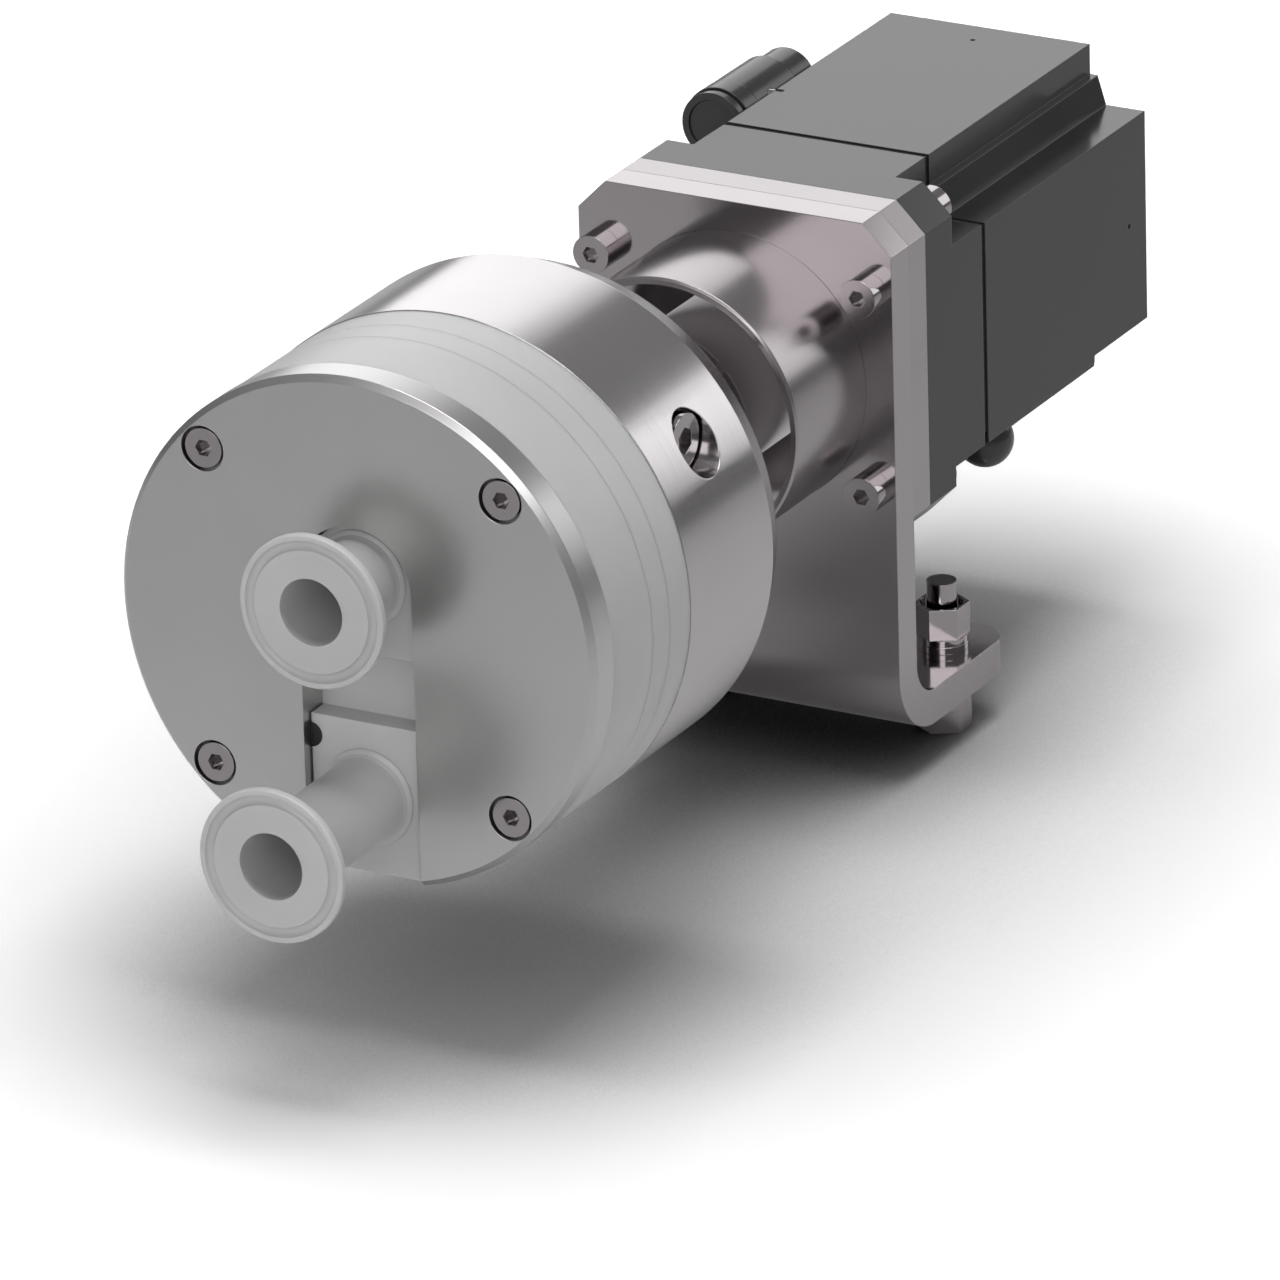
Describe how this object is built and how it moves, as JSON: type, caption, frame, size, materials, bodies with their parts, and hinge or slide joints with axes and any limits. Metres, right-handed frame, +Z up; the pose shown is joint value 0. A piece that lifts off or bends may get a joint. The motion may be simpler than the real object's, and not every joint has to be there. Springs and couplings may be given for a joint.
{
  "type": "single-use diaphragm pump",
  "caption": "Diaphragm pump head with two ferruled ports and a nodding wobble plate, on a drive ring, neck and lantern with an angled mounting bracket and a servo motor.",
  "frame": {"origin": "underside of the bracket's foot, midway between its two bolts", "axes": "X to the right seen from the ports, Y from the ports back to the motor, Z up"},
  "size_m": [0.168, 0.4861, 0.2231],
  "materials": {
    "satin_steel": "satin stainless steel",
    "bright_steel": "bright stainless steel",
    "white_plastic": "natural white polymer, machined",
    "black_rubber": "moulded elastomer",
    "dark_paint": "dark grey paint on cast aluminium",
    "black_plastic": "black moulded plastic",
    "dark_steel": "blackened steel",
    "aluminium": "machined aluminium",
    "copper": "lacquered copper winding",
    "red_rubber": "red polyurethane",
    "magnet": "coated magnet",
    "encoder_glass": "coated disc"
  },
  "bodies": {
    "frame": {"front_plate": "satin_steel", "chamber_screws": "bright_steel", "locating_pin": "dark_steel", "port_body": "white_plastic", "manifold_seals": "black_rubber", "inlet_valves": "black_rubber", "outlet_valves": "black_rubber", "valve_plate": "white_plastic", "diaphragm": "black_rubber", "chamber_base": "white_plastic", "drive_ring": "bright_steel", "clamp_cotters": "satin_steel", "clamp_screw": "bright_steel", "shaft_seal": "black_rubber", "bearing_outer_rings": "bright_steel", "outer_spacer": "satin_steel", "retaining_ring": "satin_steel", "bearing_neck": "bright_steel", "lantern": "bright_steel", "bracket": "bright_steel", "bracket_screws": "bright_steel", "motor_adapter": "bright_steel", "motor_screws": "bright_steel", "motor_front_housing": "dark_paint", "motor_gasket": "black_rubber", "motor_body": "dark_paint", "motor_seal": "black_rubber", "stator_core": "satin_steel", "stator_windings": "copper", "rear_shield": "dark_paint", "encoder_reader": "black_plastic", "rear_cover": "dark_paint", "connector_body": "black_plastic", "connector_cap": "black_plastic", "connector_pin": "bright_steel", "domed_plug": "black_plastic", "foot_bolts": "bright_steel", "foot_spacers": "bright_steel", "foot_washers": "bright_steel", "foot_nuts": "bright_steel"},
    "shaft": {"drive_shaft": "bright_steel", "hub_washer": "bright_steel", "hub_screw": "bright_steel", "bearing_inner_rings": "bright_steel", "bearing_balls": "bright_steel", "inner_spacer": "satin_steel", "shaft_nut": "satin_steel", "front_coupling_half": "aluminium", "coupling_spider": "red_rubber", "rear_coupling_half": "aluminium", "motor_shaft": "bright_steel", "rotor_core": "satin_steel", "rotor_magnets": "magnet", "encoder_disc": "encoder_glass"},
    "wobble": {"wobble_plate": "aluminium", "wobble_bearing_ring": "bright_steel", "piston_discs": "white_plastic", "piston_caps": "bright_steel"},
    "plug_ring": {"connector_ring": "black_plastic"}
  },
  "joints": [
    {"name": "shaft_spin", "type": "hinge", "parent": "frame", "child": "shaft", "pos_m": [0, -0.1569, 0.123], "axis": [0, 1, 0], "continuous": true},
    {"name": "wobble_turn", "type": "hinge", "parent": "shaft", "child": "wobble", "pos_m": [0, -0.2369, 0.123], "axis": [0, 0.9986, 0.0523], "continuous": true, "deforming": ["diaphragm"]},
    {"name": "connector_lock", "type": "hinge", "parent": "frame", "child": "plug_ring", "pos_m": [-0.0488, 0.0251, 0.1726], "axis": [0, 1, 0], "range_deg": [0, 60]}
  ],
  "couplings": [
    {"joint": "wobble_turn", "follows": "shaft_spin", "ratio": -1}
  ]
}
